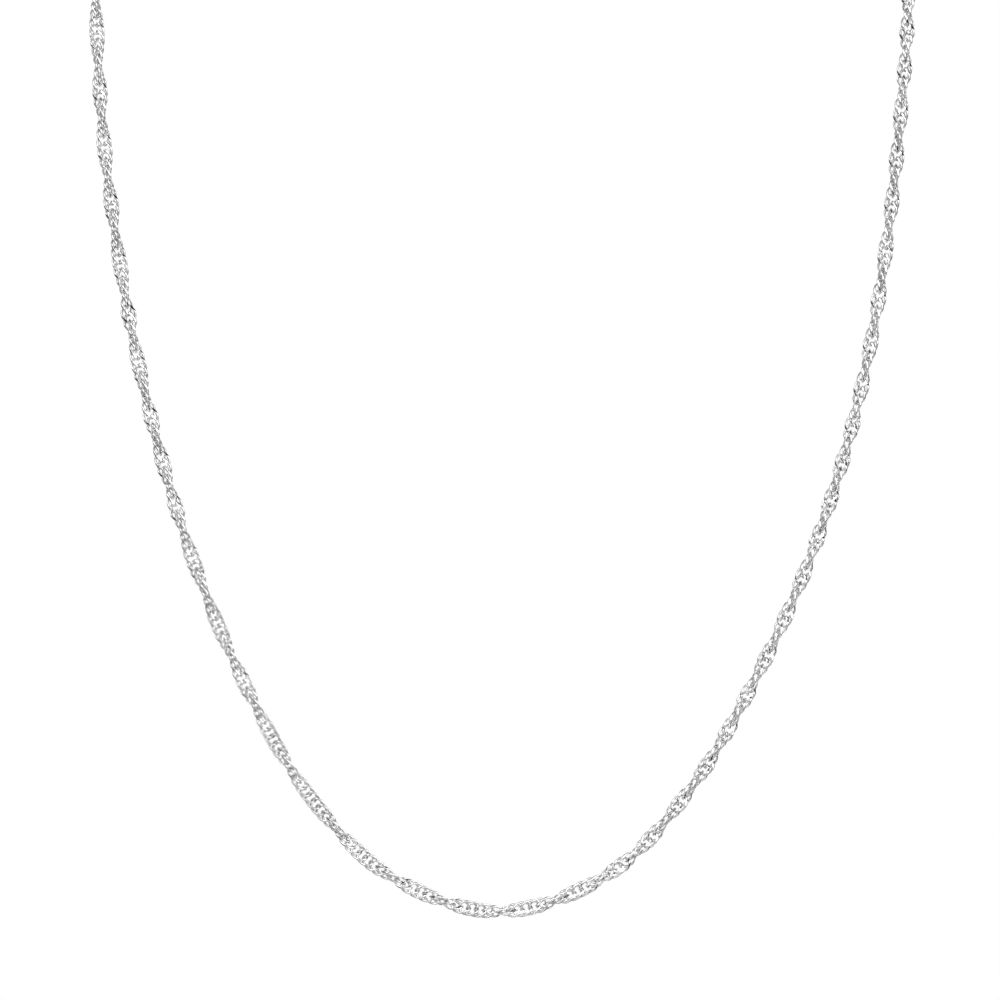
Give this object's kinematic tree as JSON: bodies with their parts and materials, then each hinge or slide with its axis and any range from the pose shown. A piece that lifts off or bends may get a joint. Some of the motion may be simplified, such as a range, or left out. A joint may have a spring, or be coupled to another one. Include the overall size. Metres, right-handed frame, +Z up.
{
  "type": "singapore chain necklace",
  "caption": "Twisted curb-link neck chain in polished white metal, a whole loop held as it is worn, with a round clasp and two jump rings at the nape.",
  "frame": {"origin": "on the axis of the neck, in the middle of the neck opening, level with the sides of the loop", "axes": "+Z up along the neck, -Y to the wearer's front, +X to the right of the picture"},
  "size_m": [0.1076, 0.097, 0.1526],
  "materials": {
    "chain_silver": "polished and diamond cut",
    "fastening_silver": "polished"
  },
  "bodies": {
    "root": {"chain": "chain_silver", "left_end_link": "fastening_silver", "right_end_link": "fastening_silver", "clasp_ring": "fastening_silver", "catch_ring": "fastening_silver", "clasp": "fastening_silver"}
  },
  "joints": []
}
